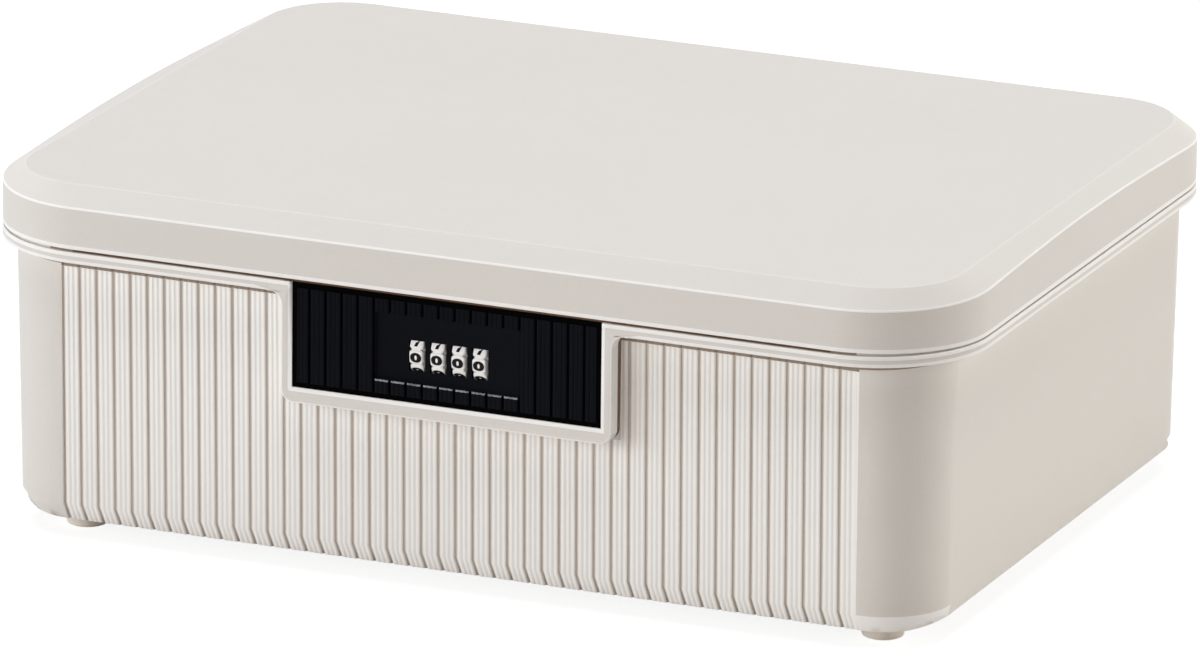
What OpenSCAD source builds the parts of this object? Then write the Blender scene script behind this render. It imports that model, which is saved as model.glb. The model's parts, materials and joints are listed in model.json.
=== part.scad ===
// Lockable storage box: a ribbed tray with a hinged lid and a four-wheel code lock in its front.
// Millimetres. The origin is under the middle of the box, on the surface that it stands on.
// +X is to the right, the front faces -Y and +Z is up. The model is drawn shut, with the code set.

/* [Box] */
// Width over the rim
box_w = 360; // [320:5:420]
// Depth over the rim
box_d = 270; // [230:5:320]
// Height from the underside of the floor to the top of the rim
box_h = 99.5; // [90:0.5:130]
// Corner radius of the rim
rim_r = 41; // [36:1:50]
// Height of the rim band
rim_h = 4; // [3.6:0.2:6]
// How far the rim stands out past the wall
rim_over = 7.75; // [7:0.25:9]
// Corner radius of the wall, just under the rim
wall_r = 25.5; // [24:0.5:32]
// Thickness of the walls
wall_t = 2.5; // [2:0.25:3]
// Thickness of the floor
floor_t = 2.5; // [2:0.25:4]
// How far the wall leans in on its way down to the bottom bevel
wall_draft = 1.5; // [0.5:0.1:3]
// Width of the bottom bevel
base_bevel_w = 4.2; // [3:0.1:6]
// Height of the bottom bevel
base_bevel_h = 6.6; // [4:0.1:9]

/* [Ribs] */
// Pitch of the deep grooves down the front
rib_pitch = 6.35; // [5:0.05:9]
// Width of a deep groove
groove_w = 1; // [0.6:0.1:1.4]
// Depth of a deep groove
groove_d = 1; // [0.5:0.1:1.3]
// Depth of the shallow dips between the three reeds of a rib
reed_dip = 0.35; // [0.1:0.05:0.5]

/* [Lid] */
// How far the lid's skirt is set in from the rim
lid_inset = 0.15; // [0.1:0.05:0.8]
// Height of the skirt
skirt_h = 15.2; // [12:0.2:22]
// How far the skirt leans in over its height
skirt_draft = 0; // [0:0.05:0.8]
// Width of the bevel round the top
top_bevel_w = 9; // [6:0.5:14]
// Height of the bevel round the top
top_bevel_h = 6; // [3:0.25:7]
// Thickness of the lid
lid_t = 2.5; // [2:0.25:3]
// Height of the shadow gap between the skirt and the rim
shadow_gap = 0.5; // [0.3:0.1:1]
// Width of the land on which the lid rests
land_w = 1.3; // [0.8:0.1:1.6]
// Thickness of the locating lip inside the lid
lip_t = 1.6; // [1.2:0.1:2.4]
// How far the lip reaches down past the top of the rim
lip_drop = 3; // [1:0.5:5]
// Gap between the lip and the wall
lip_gap = 0.8; // [0.6:0.1:1.5]

/* [Hinges] */
// Distance of each hinge's middle from the end of the rim
hinge_in = 85; // [70:5:120]
// Length of one knuckle
knuckle_l = 8.4; // [6:0.2:12]
// Gap between knuckles
knuckle_gap = 0.4; // [0.2:0.1:0.6]
// Radius of the knuckles
knuckle_r = 3; // [2.8:0.1:3.6]
// Radius of the hinge pins
pin_r = 1.5; // [1:0.1:1.8]
// How far the pin's axis lies behind the rim
axis_out = 0.6; // [0.5:0.1:1.2]
// Height of the pin's axis above the top of the rim
axis_up = 0.2; // [0.1:0.05:0.4]
// Angle at which the lid leans on its stops
open_angle = 110; // [95:1:120]
// How far the stops reach behind the pin's axis
stop_out = 4.8; // [4.4:0.1:6]

/* [Lock] */
// Width of the black lock face
lock_w = 113.4; // [100:0.2:130]
// Height of the black lock face
lock_h = 36.9; // [36:0.1:42]
// Width of the raised collar beside the lock face
collar_side = 4.1; // [3:0.1:6]
// Height of the raised collar under the lock face
collar_base = 5.5; // [3.5:0.1:8]
// Corner radius of the collar
collar_r = 4.5; // [2:0.5:6]
// Thickness of the lock face
face_t = 2; // [1.5:0.1:2.4]
// Plain border round the ribs of the lock face
face_border = 1.8; // [1.2:0.1:2.5]
// Width of the recessed panel
panel_w = 53.4; // [46:0.2:60]
// Height of the recessed panel
panel_h = 23.6; // [20:0.2:26]
// Distance of the panel's top edge from the top of the lock face
panel_drop = 6.6; // [5:0.2:8]
// Depth of the recessed panel
panel_depth = 2.4; // [1.5:0.1:2.6]
// Thickness of the panel
panel_t = 1.4; // [1:0.1:1.6]
// Number of ribs across the panel's width
face_ribs = 9; // [7:1:13]

/* [Code wheels] */
// Pitch of the wheels
wheel_pitch = 7.7; // [7.4:0.1:9]
// Radius of a wheel
wheel_r = 9.4; // [9:0.1:9.6]
// Width of a wheel
wheel_w = 5.5; // [5.2:0.1:5.6]
// How far a wheel stands out of the panel
wheel_proud = 1.7; // [1.2:0.1:1.9]
// Height of the wheels' axis under the top of the rim
wheel_drop = 20.7; // [20:0.1:21.5]
// Radius of the axle
axle_r = 1.5; // [1.2:0.1:1.8]
// Radius of a gate disc
gate_r = 5.6; // [5:0.1:5.8]
// Thickness of a gate disc
gate_t = 1.4; // [1:0.1:1.5]
// Distance of a gate disc's flat from its axis
gate_flat = 3.6; // [3.45:0.05:3.8]
// Radius of a gate disc's hub
hub_r = 3.4; // [3:0.05:3.45]
// How far the reset slider travels
reset_travel = 1.3; // [1.2:0.05:1.35]
// Running clearance of pins, hubs and axles
run = 0.06; // [0.02:0.01:0.1]

/* [Feet] */
// Diameter of a foot
foot_d = 14.6; // [10:0.2:16]
// Height of a foot
foot_h = 6.5; // [2.5:0.25:9]
// Distance of a foot's middle from the end of the rim
foot_in_x = 32.5; // [31:0.5:60]
// Distance of a foot's middle from the front or the back of the rim
foot_in_y = 31; // [21:1:45]

/* [Hidden] */
$fn = 64;

beige = [0.88, 0.86, 0.83];
black = [0.07, 0.07, 0.08];
ivory = [0.93, 0.92, 0.89];
steel = [0.70, 0.71, 0.73];
foot_beige = [0.83, 0.76, 0.70];

// Overlap of cutters past the faces that they cut
cut = 1;
// Small edge radius of the moulded shells, the steps that draw it, and the flat run past the top bevel
edge_r = 0.6;
arc_steps = 3;
top_run = 5;

// Radius of the plug that holds a foot, and the places of the feet and the hinges
foot_plug_r = 3;
foot_x = box_w / 2 - foot_in_x;
foot_y = box_d / 2 - foot_in_y;
hinge_x = box_w / 2 - hinge_in;

// Heights
floor_z = foot_h;
rim_z = floor_z + box_h;
wall_top_z = rim_z - rim_h;
bevel_z = floor_z + base_bevel_h;
lid_z = rim_z + shadow_gap;
skirt_z = lid_z + skirt_h;
top_z = skirt_z + top_bevel_h;
lid_under_z = top_z - lid_t;

// The rim's middle lies in front of the origin, because the hinges stand out behind the rim
hinge_out = axis_out + stop_out;
mid_y = -hinge_out / 2;
front_y = mid_y - box_d / 2;
back_y = mid_y + box_d / 2;

// Middles of the corner arcs, measured from the middle of the rim
rim_cx = box_w / 2 - rim_r;
rim_cy = box_d / 2 - rim_r;
wall_cx = box_w / 2 - rim_over - wall_r;
wall_cy = box_d / 2 - rim_over - wall_r;
lid_r = rim_r - lid_inset;
crease_r = wall_r - wall_draft;
base_r = crease_r - base_bevel_w;
// The ribs end just short of the corner arcs
rib_half = wall_cx - 0.4;

// Lock, from the front to the back
face_y = front_y + 0.4;
border_y = front_y + 0.9;
panel_y = face_y + panel_depth;
axis_y = panel_y + wheel_r - wheel_proud;
axis_z = rim_z - wheel_drop;
panel_gap = 1.6;
case_t = 1.6;
seat_t = 3.6;
seat_y = panel_y + panel_t + panel_gap + case_t;
face_top = rim_z - 0.1;
face_bottom = face_top - lock_h;
panel_top = face_top - panel_drop;
fit_gap = 0.1;
face_rib_pitch = panel_w / face_ribs;

// Wheels and gate discs, side by side along the axle
wheels = 4;
wheel_gap = wheel_pitch - wheel_w;
gate_off = wheel_pitch / 2;
stack_gap = 0.15;
hub_l = wheel_pitch - gate_t - stack_gap;
gate_recess = 1.7;
notch_l = 1.2;
chamber_l = 1.6;
lug_l = 1;
lug_h = 1.2;
lug_w = 1.4;
lug_r = hub_r + lug_h;
notch_gap = 0.2;
digits = 10;
grip_r = 0.8;
window_gap = 0.4;
window_side = 0.3;
function wheel_x(k) = (k - (wheels + 1) / 2) * wheel_pitch;
last_gate_x = wheel_x(wheels) + gate_off;

// Comb under the lid: its teeth pass the flats of the gate discs
comb_t = 1.5;
comb_y = axis_y + wheel_r + 1.6;
tooth_reach = 1;
tooth_y = axis_y + gate_r - tooth_reach;
tooth_w = min(gate_t, wheel_gap - 0.8);
tooth_h = 2.5;
tooth_top = axis_z - sqrt(gate_r * gate_r - (gate_r - tooth_reach) * (gate_r - tooth_reach)) - 0.5;
comb_x0 = wheel_x(1) + gate_off - tooth_w / 2 - 2;
comb_x1 = last_gate_x + tooth_w / 2 + 0.1;
flange_l = 14;
flange_drop = 7.1;
flange_z = lid_under_z - flange_drop;
comb_screw_in = 6;
comb_screw_x = [comb_x0 + 4, comb_x1 - 4];
comb_screw_y = comb_y + flange_l - comb_screw_in;
comb_boss_r = 3.5;

// Case behind the lock face
case_w = 50;
case_z0 = axis_z - wheel_r - 3.7;
case_z1 = axis_z + wheel_r + 3.5;
case_back_y = comb_y + comb_t + 1.7;
cover_t = 1.5;
cover_y = case_back_y + cover_t;
case_floor_z = case_z0 + case_t;
boss_r = 3;
left_boss_x = wheel_x(1) - wheel_w / 2 - 3.1;
arm_x = last_gate_x + gate_t / 2 + 2.5;
arm_t = 2;
arm_h = 4.4;
right_boss_x = arm_x + arm_t + 0.8;
clip_t = 0.8;
clip_x = wheel_x(1) + gate_off - gate_t / 2 - hub_l - stack_gap - clip_t;
axle_x0 = left_boss_x - 2.1;
axle_x1 = case_w / 2 - 0.2;
clip_bite = 0.3;
pad_w = 10;
pad_h = 12;
pad_t = 2.8;
post_w = 4;
post_l = 8;
slot_gap = 1.5;

// Leaf spring: its front edge lies behind the axle, and its fingers rise to just under the wheels
spring_t = 0.3;
spring_back = 6.5;
leaf_w = 5.5;
leaf_over = 5;
finger_w = 3.6;
finger_gap = 0.3;
crest_w = 1.5;
stud_x = [-13, 13];
stud_y = axis_y + spring_back + leaf_w / 2;
stud_r = 1;
stud_head_h = 0.6;
cover_screw_x = case_w / 2 - case_t - post_w / 2;
cover_screw_z = [case_z0 + case_t + post_w / 2, case_z1 - case_t - post_w / 2];

// Screws
screw_r = 1.5;
screw_head_r = 2.9;
screw_head_h = 2;
small_screw_r = 1;
small_head_r = 1.9;
small_head_h = 1.2;
lock_screw_out = 13.3;
lock_screw_in = 8;
lock_screw_x = panel_w / 2 + lock_screw_out;
lock_screw_z = [face_bottom + lock_screw_in, face_top - lock_screw_in];
lock_boss_r = 3.4;
screw_end = 1;

// Hinge line
hinge_y = back_y + axis_out;
hinge_z = rim_z + axis_up;
pocket_r = knuckle_r + 0.4;
// How deep the webs of the knuckles reach into the rim and the skirt
web_in = 2.4;
knuckles = 5;
hinge_l = knuckles * knuckle_l + (knuckles - 1) * knuckle_gap;
function knuckle_x(i) = -hinge_l / 2 + i * (knuckle_l + knuckle_gap);

// Points of an arc that rounds the corner at b between a and c
function unit(v) = v / norm(v);
function corner(a, b, c, r) =
    let (u = unit(a - b), v = unit(c - b), half = acos(u * v) / 2,
        mid = b + unit(u + v) * r / sin(half),
        p = b + u * r / tan(half), q = b + v * r / tan(half))
    [for (i = [0:arc_steps]) mid + r * unit((p - mid) * (1 - i / arc_steps) + (q - mid) * i / arc_steps)];

// An open path whose inner corners are rounded
function soften(path, r) = [
    path[0],
    for (i = [1:len(path) - 2]) for (p = corner(path[i - 1], path[i], path[i + 1], r)) p,
    path[len(path) - 1]
];

// A closed box with rounded upright corners. Each step of its outline is [corner radius, height].
module soft_box(cx, cy, steps) {
    low = steps[0][1];
    high = steps[len(steps) - 1][1];
    flip = [for (i = [len(steps) - 1:-1:0]) steps[i]];
    for (sx = [-1, 1], sy = [-1, 1])
        translate([sx * cx, sy * cy, 0])
            rotate_extrude() polygon(concat([[0, low]], steps, [[0, high]]));
    rotate([90, 0, 90])
        linear_extrude(2 * cx, center = true)
            polygon(concat([for (s = steps) [cy + s[0], s[1]]], [for (s = flip) [-cy - s[0], s[1]]]));
    rotate([90, 0, 0])
        linear_extrude(2 * cy, center = true)
            polygon(concat([for (s = steps) [cx + s[0], s[1]]], [for (s = flip) [-cx - s[0], s[1]]]));
}

// A rounded rectangle, of corner middles cx, cy and corner radius r
module soft_rect(cx, cy, r) {
    square([2 * cx, 2 * (cy + r)], center = true);
    square([2 * (cx + r), 2 * cy], center = true);
    for (sx = [-1, 1], sy = [-1, 1]) translate([sx * cx, sy * cy]) circle(r);
}

// A round bar along X
module bar_x(r, x0, x1) translate([x0, 0, 0]) rotate([0, 90, 0]) cylinder(r = r, h = x1 - x0);

// A round bar along Y
module bar_y(r, y0, y1) translate([0, y0, 0]) rotate([-90, 0, 0]) cylinder(r = r, h = y1 - y0);

// A block between two corners
module block(a, b) translate(a) cube(b - a);

// Cross-section of the ribs. One rib is a deep groove and three reeds with shallow dips between.
function rib_points(x, pitch) = let (reed = (pitch - groove_w) / 3) [
    [x - 0.3 * groove_w, groove_d], [x + 0.3 * groove_w, groove_d],
    for (k = [0:2], f = [0, 0.25, 0.75]) [x + groove_w / 2 + (k + f) * reed, reed_dip * pow(2 * f - 1, 2)],
    [x + pitch - groove_w / 2, reed_dip]
];

// Cutter that leaves the ribs between x0 and x1, on a face that looks towards -Y
module rib_cutter(x0, x1, pitch, length) {
    start = x0 + groove_w / 2;
    line = [for (x = [start:pitch:x1]) for (p = rib_points(x, pitch)) if (p[0] < x1 - 0.3) p];
    linear_extrude(length)
        polygon(concat([[x1, -cut], [x0, -cut]], line));
}

module front_ribs() {
    wall_l = norm([wall_draft, wall_top_z - bevel_z]);
    wall_tilt = atan2(wall_draft, wall_top_z - bevel_z);
    bevel_l = norm([base_bevel_w, base_bevel_h]);
    bevel_tilt = atan2(base_bevel_w, base_bevel_h);
    translate([0, -wall_cy - crease_r, bevel_z])
        rotate([wall_tilt, 0, 0])
            translate([0, 0, -cut]) rib_cutter(-rib_half, rib_half, rib_pitch, wall_l + 2 * cut);
    translate([0, -wall_cy - base_r, floor_z])
        rotate([bevel_tilt, 0, 0])
            translate([0, 0, -2 * cut]) rib_cutter(-rib_half, rib_half, rib_pitch, bevel_l + 2 * cut);
}

// The raised collar under the rim, in the X-Z plane
module collar_shape() {
    half = lock_w / 2 + collar_side;
    low = face_bottom - collar_base;
    translate([-half + collar_r, low]) square([2 * (half - collar_r), rim_z - low]);
    translate([-half, low + collar_r]) square([2 * half, rim_z - low - collar_r]);
    for (s = [-1, 1]) translate([s * (half - collar_r), low + collar_r]) circle(collar_r);
    for (s = [-1, 1])
        difference() {
            translate([s * (half + collar_r / 2), wall_top_z - collar_r / 2]) square(collar_r, center = true);
            translate([s * (half + collar_r), wall_top_z - collar_r]) circle(collar_r);
        }
}

// Cross-section of a knuckle and the web that carries it, seen along the hinge line
module body_knuckle_shape() {
    // The lid's skirt, turned to its open angle, comes down just above the tip of the stop
    stop_drop = (stop_out * cos(open_angle) + axis_out + lid_inset - 0.1) / sin(open_angle);
    circle(knuckle_r);
    polygon([[-axis_out - web_in, -knuckle_r], [knuckle_r - 0.4, -knuckle_r], [stop_out, stop_drop - 1.2],
        [stop_out, stop_drop], [0, -2 * axis_up], [-axis_out - web_in, -2 * axis_up]]);
}

module lid_knuckle_shape() {
    circle(knuckle_r);
    translate([-axis_out - web_in, axis_up + 0.1]) square([axis_out + web_in, knuckle_r - axis_up - 0.1]);
}

// Along the hinge line, for the knuckles i of each hinge: a solid of the shape given
module along_hinge(list, extra) {
    for (s = [-1, 1], i = list)
        translate([s * hinge_x + knuckle_x(i) - extra, hinge_y, hinge_z])
            rotate([90, 0, 90]) linear_extrude(knuckle_l + 2 * extra) children();
}

module box_body() {
    color(beige)
    difference() {
        union() {
            difference() {
                union() {
                    translate([0, mid_y, 0]) {
                        difference() {
                            soft_box(wall_cx, wall_cy, [[base_r, floor_z], [crease_r, bevel_z],
                                [wall_r, wall_top_z], [wall_r, rim_z]]);
                            front_ribs();
                        }
                        soft_box(rim_cx, rim_cy, soften([[rim_r - 2, wall_top_z], [rim_r, wall_top_z],
                            [rim_r, rim_z], [rim_r - 2, rim_z]], edge_r));
                    }
                    translate([0, front_y + rim_over + 1, 0])
                        rotate([90, 0, 0]) linear_extrude(rim_over + 1) collar_shape();
                }
                cavity();
                along_hinge([1, 3], knuckle_gap) circle(pocket_r);
            }
            block([-lock_w / 2 - collar_side, seat_y, face_bottom - collar_base],
                [lock_w / 2 + collar_side, seat_y + seat_t, rim_z]);
            along_hinge([0, 2, 4], 0) body_knuckle_shape();
        }
        block([-lock_w / 2 - fit_gap, front_y - cut, face_bottom - fit_gap],
            [lock_w / 2 + fit_gap, seat_y, rim_z + cut]);
        block([-case_w / 2 - 0.3, seat_y - cut, case_z0 - 0.3],
            [case_w / 2 + 0.3, seat_y + 2 * seat_t, case_z1 + 0.3]);
        lock_screw_places() bar_y(screw_r + 0.2, seat_y - cut, seat_y + 2 * seat_t);
        hinge_places() bar_x(pin_r, -hinge_l / 2 - cut, hinge_l / 2 + cut);
        for (sx = [-1, 1], sy = [-1, 1])
            foot_place(sx, sy) cylinder(r = foot_plug_r, h = floor_z + floor_t + cut);
    }
}

// The space inside the tray. Its bottom bevel is parallel to the outer one.
module cavity() {
    slope = base_bevel_w / base_bevel_h;
    shift = wall_t * norm([base_bevel_w, base_bevel_h]) / base_bevel_h;
    low_r = base_r + floor_t * slope - shift;
    crease_z = floor_z + (crease_r - wall_t - base_r + shift) / slope;
    translate([0, mid_y, 0])
        soft_box(wall_cx, wall_cy, [[low_r, floor_z + floor_t], [crease_r - wall_t, crease_z],
            [wall_r - wall_t, wall_top_z], [wall_r - wall_t, rim_z + cut]]);
}

module lock_screw_places() for (s = [-1, 1], z = lock_screw_z) translate([s * lock_screw_x, 0, z]) children();
module cover_screw_places()
    for (s = [-1, 1], z = cover_screw_z) translate([s * cover_screw_x, 0, z]) children();
module comb_screw_places() for (x = comb_screw_x) translate([x, comb_screw_y, flange_z]) children();
module hinge_places() for (s = [-1, 1]) translate([s * hinge_x, hinge_y, hinge_z]) children();
module foot_place(sx, sy) translate([sx * foot_x, mid_y + sy * foot_y, 0]) children();
module on_axis(x) translate([x, axis_y, axis_z]) children();

// One soft foot, with a plug that fills its hole in the floor
module foot(sx, sy) {
    r = foot_d / 2;
    color(foot_beige)
    foot_place(sx, sy)
        rotate_extrude()
            polygon([[0, 0], [r - 1, 0], [r - 0.3, 0.3], [r, 1], [r - 0.2, foot_h], [foot_plug_r, foot_h],
                [foot_plug_r, foot_h + floor_t], [0, foot_h + floor_t]]);
}

module hinge_pin(s) {
    color(steel)
    translate([s * hinge_x, hinge_y, hinge_z]) bar_x(pin_r, -hinge_l / 2, hinge_l / 2);
}

// Outside of the lid, from the land up over the skirt and the bevel to the flat top
module lid_outside() {
    land_r = lid_r - lid_t + land_w;
    translate([0, mid_y, 0])
        soft_box(rim_cx, rim_cy, concat([[land_r, rim_z]],
            soften([[land_r, lid_z], [lid_r, lid_z], [lid_r - skirt_draft, skirt_z],
                [lid_r - top_bevel_w, top_z], [lid_r - top_bevel_w - top_run, top_z]], edge_r)));
}

// Space under the lid. Its faces are parallel to the outer ones.
module lid_inside() {
    run_w = top_bevel_w - skirt_draft;
    slope = run_w / top_bevel_h;
    shift = lid_t * norm([run_w, top_bevel_h]) / top_bevel_h;
    side_r = lid_r - skirt_draft - lid_t;
    translate([0, mid_y, 0])
        soft_box(rim_cx, rim_cy, [[lid_r - lid_t, rim_z - cut], [side_r, skirt_z + (lid_t - shift) / slope],
            [lid_r - skirt_draft - (lid_under_z - skirt_z) * slope - shift, lid_under_z]]);
}

// Lip that drops inside the wall and keeps the lid in place, left out behind the lock
module lid_lip() {
    out_r = wall_r - wall_t - lip_gap;
    gap = lock_w / 2 + collar_side + 1;
    deep = 2 * (rim_over + wall_t + lip_gap + lip_t);
    intersection() {
        difference() {
            translate([0, mid_y, rim_z - lip_drop]) linear_extrude(top_z - rim_z)
                difference() {
                    soft_rect(wall_cx, wall_cy, out_r);
                    soft_rect(wall_cx, wall_cy, out_r - lip_t);
                }
            block([-gap, front_y, rim_z - lip_drop - cut], [gap, front_y + deep, top_z + cut]);
        }
        translate([0, mid_y, rim_z - lip_drop]) linear_extrude(lid_under_z + 0.3 - rim_z + lip_drop)
            soft_rect(rim_cx, rim_cy, lid_r - 1);
    }
}

module lid_shell() {
    color(beige)
    difference() {
        union() {
            difference() {
                lid_outside();
                lid_inside();
                along_hinge([0, 2, 4], knuckle_gap) circle(pocket_r);
            }
            lid_lip();
            comb_screw_places() translate([0, 0, comb_t])
                cylinder(r = comb_boss_r, h = lid_under_z + 0.5 - flange_z - comb_t);
            along_hinge([1, 3], 0) lid_knuckle_shape();
        }
        hinge_places() bar_x(pin_r + run, -hinge_l / 2 - cut, hinge_l / 2 + cut);
        comb_screw_places() cylinder(r = screw_r, h = lid_under_z - flange_z);
    }
}

// Steel comb under the lid. Its teeth hook under the gate discs.
module catch_comb() {
    color(steel)
    difference() {
        union() {
            block([comb_x0, comb_y, tooth_top - tooth_h], [comb_x1, comb_y + comb_t, flange_z + comb_t]);
            block([comb_x0, comb_y, flange_z], [comb_x1, comb_y + flange_l, flange_z + comb_t]);
            for (k = [1:wheels])
                block([wheel_x(k) + gate_off - tooth_w / 2, tooth_y, tooth_top - tooth_h],
                    [wheel_x(k) + gate_off + tooth_w / 2, comb_y + 0.5, tooth_top]);
        }
        comb_screw_places() translate([0, 0, -cut]) cylinder(r = screw_r + 0.15, h = comb_t + 2 * cut);
    }
}

// A screw along +Z, with its head below z = 0 and a hexagon socket in the head
module screw(r, length, head_r, head_h) {
    cylinder(r = r, h = length);
    difference() {
        translate([0, 0, -head_h]) cylinder(r = head_r, h = head_h);
        translate([0, 0, -head_h - cut]) cylinder(r = head_r / 2, h = cut + head_h * 0.6, $fn = 6);
    }
}

module catch_screws() {
    color(steel)
    comb_screw_places() screw(screw_r, lid_under_z - flange_z - 0.4, screw_head_r, screw_head_h);
}

// Black ribbed cover of the lock, with a window for each wheel in its recessed panel
module lock_face() {
    half = lock_w / 2;
    rib_x = half - face_border;
    rib_z = face_bottom + face_border;
    panel_z = panel_top - panel_h;
    side_ribs = ceil((rib_x - panel_w / 2) / face_rib_pitch);
    first_x = -panel_w / 2 - side_ribs * face_rib_pitch - groove_w / 2;
    color(black)
    difference() {
        union() {
            difference() {
                union() {
                    block([-half, border_y, face_bottom], [half, seat_y, face_top]);
                    block([-rib_x, face_y, rib_z], [rib_x, border_y + 0.5, face_top - face_border]);
                }
                intersection() {
                    translate([0, face_y, rib_z])
                        rib_cutter(first_x, rib_x, face_rib_pitch, lock_h - 2 * face_border);
                    block([-rib_x, face_y - 2 * cut, rib_z - cut], [rib_x, face_y + 2 * groove_d, face_top]);
                }
                difference() {
                    block([-half + face_t, face_y + face_t, face_bottom + face_t],
                        [half - face_t, seat_y + cut, face_top - face_t]);
                    block([-panel_w / 2 - panel_t, face_y, panel_z - panel_t],
                        [panel_w / 2 + panel_t, panel_y + panel_t, panel_top + panel_t]);
                }
                block([-panel_w / 2, face_y - cut, panel_z], [panel_w / 2, panel_y, panel_top]);
            }
            lock_screw_places() bar_y(lock_boss_r, face_y + face_t - 0.4, seat_y - case_t);
        }
        lock_screw_places() bar_y(screw_r, face_y + face_t + screw_end, seat_y);
        for (k = [1:wheels])
            on_axis(wheel_x(k))
                bar_x(wheel_r + window_gap, -wheel_w / 2 - window_side, wheel_w / 2 + window_side);
    }
}

// Open case that holds the axle in two bosses and goes through the front wall
module lock_case() {
    half = case_w / 2;
    flange_x = lock_screw_x + lock_boss_r + 1;
    color(black)
    difference() {
        union() {
            difference() {
                union() {
                    block([-flange_x, seat_y - case_t, face_bottom + face_t + 0.5],
                        [flange_x, seat_y, face_top - face_t - 0.5]);
                    block([-half, seat_y - case_t, case_z0], [half, case_back_y, case_z1]);
                }
                block([-half + case_t, seat_y - case_t - cut, case_floor_z],
                    [half - case_t, case_back_y + cut, case_z1 - case_t]);
                block([comb_x0 - slot_gap, tooth_y - slot_gap, case_z1 - case_t - cut],
                    [comb_x1 + slot_gap, case_back_y + cut, case_z1 + cut]);
            }
            on_axis(0) bar_x(boss_r, -half + case_t - 0.2, left_boss_x);
            on_axis(0) bar_x(boss_r, right_boss_x, half - case_t + 0.2);
            cover_screw_places() block([-post_w / 2 - 0.1, case_back_y - post_l, -post_w / 2 - 0.1],
                [post_w / 2 + 0.1, case_back_y, post_w / 2 + 0.1]);
            for (x = stud_x) translate([x, stud_y, case_floor_z]) {
                translate([0, 0, -0.2]) cylinder(r = stud_r, h = spring_t + 0.4);
                translate([0, 0, spring_t]) cylinder(r = 1.8 * stud_r, h = stud_head_h);
            }
        }
        on_axis(0) bar_x(axle_r + run, axle_x0 - reset_travel - 0.5, left_boss_x + cut);
        on_axis(0) bar_x(axle_r + run, right_boss_x - cut, half + cut);
        cover_screw_places() bar_y(small_screw_r, case_back_y - post_l + screw_end, case_back_y + cut);
        lock_screw_places() bar_y(screw_r + 0.2, seat_y - case_t - cut, seat_y + cut);
    }
}

module case_cover() {
    color(black)
    difference() {
        block([-case_w / 2, case_back_y, case_z0], [case_w / 2, cover_y, case_z1]);
        block([arm_x - reset_travel - 0.3, case_back_y - cut, axis_z - arm_h / 2 - 0.3],
            [arm_x + arm_t + 0.3, cover_y + cut, axis_z + arm_h / 2 + 0.3]);
        cover_screw_places() bar_y(small_screw_r + 0.15, case_back_y - cut, cover_y + cut);
    }
}

module cover_screws() {
    color(steel)
    cover_screw_places() translate([0, cover_y, 0]) rotate([90, 0, 0])
        screw(small_screw_r, cover_t + post_l - 2 * screw_end, small_head_r, small_head_h);
}

module lock_screws() {
    color(steel)
    lock_screw_places() translate([0, seat_y + seat_t, 0]) rotate([90, 0, 0])
        screw(screw_r, seat_y + seat_t - face_y - face_t - 1.2 * screw_end, screw_head_r, screw_head_h);
}

// Leaf with one finger under each wheel, staked to the floor of the case
module detent_spring() {
    crest = axis_z - wheel_r - finger_gap - spring_t / 2;
    low = case_floor_z + spring_t / 2;
    path = [[stud_y, low], [axis_y + spring_back, low], [axis_y + crest_w, crest - spring_t], [axis_y, crest],
        [axis_y - crest_w, crest - 2 * spring_t]];
    half = [0, spring_t / 2];
    color(steel)
    difference() {
        union() {
            block([wheel_x(1) - leaf_over, axis_y + spring_back, case_floor_z],
                [wheel_x(wheels) + leaf_over, axis_y + spring_back + leaf_w, case_floor_z + spring_t]);
            for (k = [1:wheels])
                translate([wheel_x(k) - finger_w / 2, 0, 0]) rotate([90, 0, 90]) linear_extrude(finger_w)
                    polygon(concat([for (p = path) p + half],
                        [for (i = [len(path) - 1:-1:0]) path[i] - half]));
        }
        for (x = stud_x) translate([x, stud_y, case_floor_z - cut])
            cylinder(r = stud_r, h = spring_t + 2 * cut);
    }
}

module wheel_axle() {
    color(steel)
    on_axis(0) difference() {
        bar_x(axle_r, axle_x0, axle_x1);
        difference() {
            bar_x(axle_r + cut, clip_x, clip_x + clip_t);
            bar_x(axle_r - clip_bite, clip_x - cut, clip_x + clip_t + cut);
        }
    }
}

// Snap ring in the groove of the axle
module axle_clip() {
    color(steel)
    on_axis(0) difference() {
        bar_x(2 * axle_r, clip_x, clip_x + clip_t);
        bar_x(axle_r - clip_bite, clip_x - cut, clip_x + clip_t + cut);
        block([clip_x - cut, -axle_r * 0.6, 0], [clip_x + clip_t + cut, axle_r * 0.6, 3 * axle_r]);
    }
}

// Slider on the back of the case: its arm pulls the axle and the gate discs out of the wheels
module reset_slider() {
    pad_x = arm_x + arm_t / 2;
    pad_y = cover_y + 0.2;
    color(black)
    difference() {
        union() {
            block([arm_x, axis_y, axis_z - arm_h / 2], [arm_x + arm_t, pad_y + 1, axis_z + arm_h / 2]);
            on_axis(0) bar_x(boss_r, last_gate_x + gate_t / 2 + stack_gap, arm_x + arm_t);
            block([pad_x - pad_w / 2, pad_y, axis_z - pad_h / 2],
                [pad_x + pad_w / 2, pad_y + pad_t, axis_z + pad_h / 2]);
        }
        on_axis(0) bar_x(axle_r, 0, case_w / 2);
        for (i = [-2:2]) translate([pad_x + i * 1.8, pad_y + pad_t, axis_z])
            cube([0.8, 1.2, pad_h - 3], center = true);
    }
}

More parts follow.
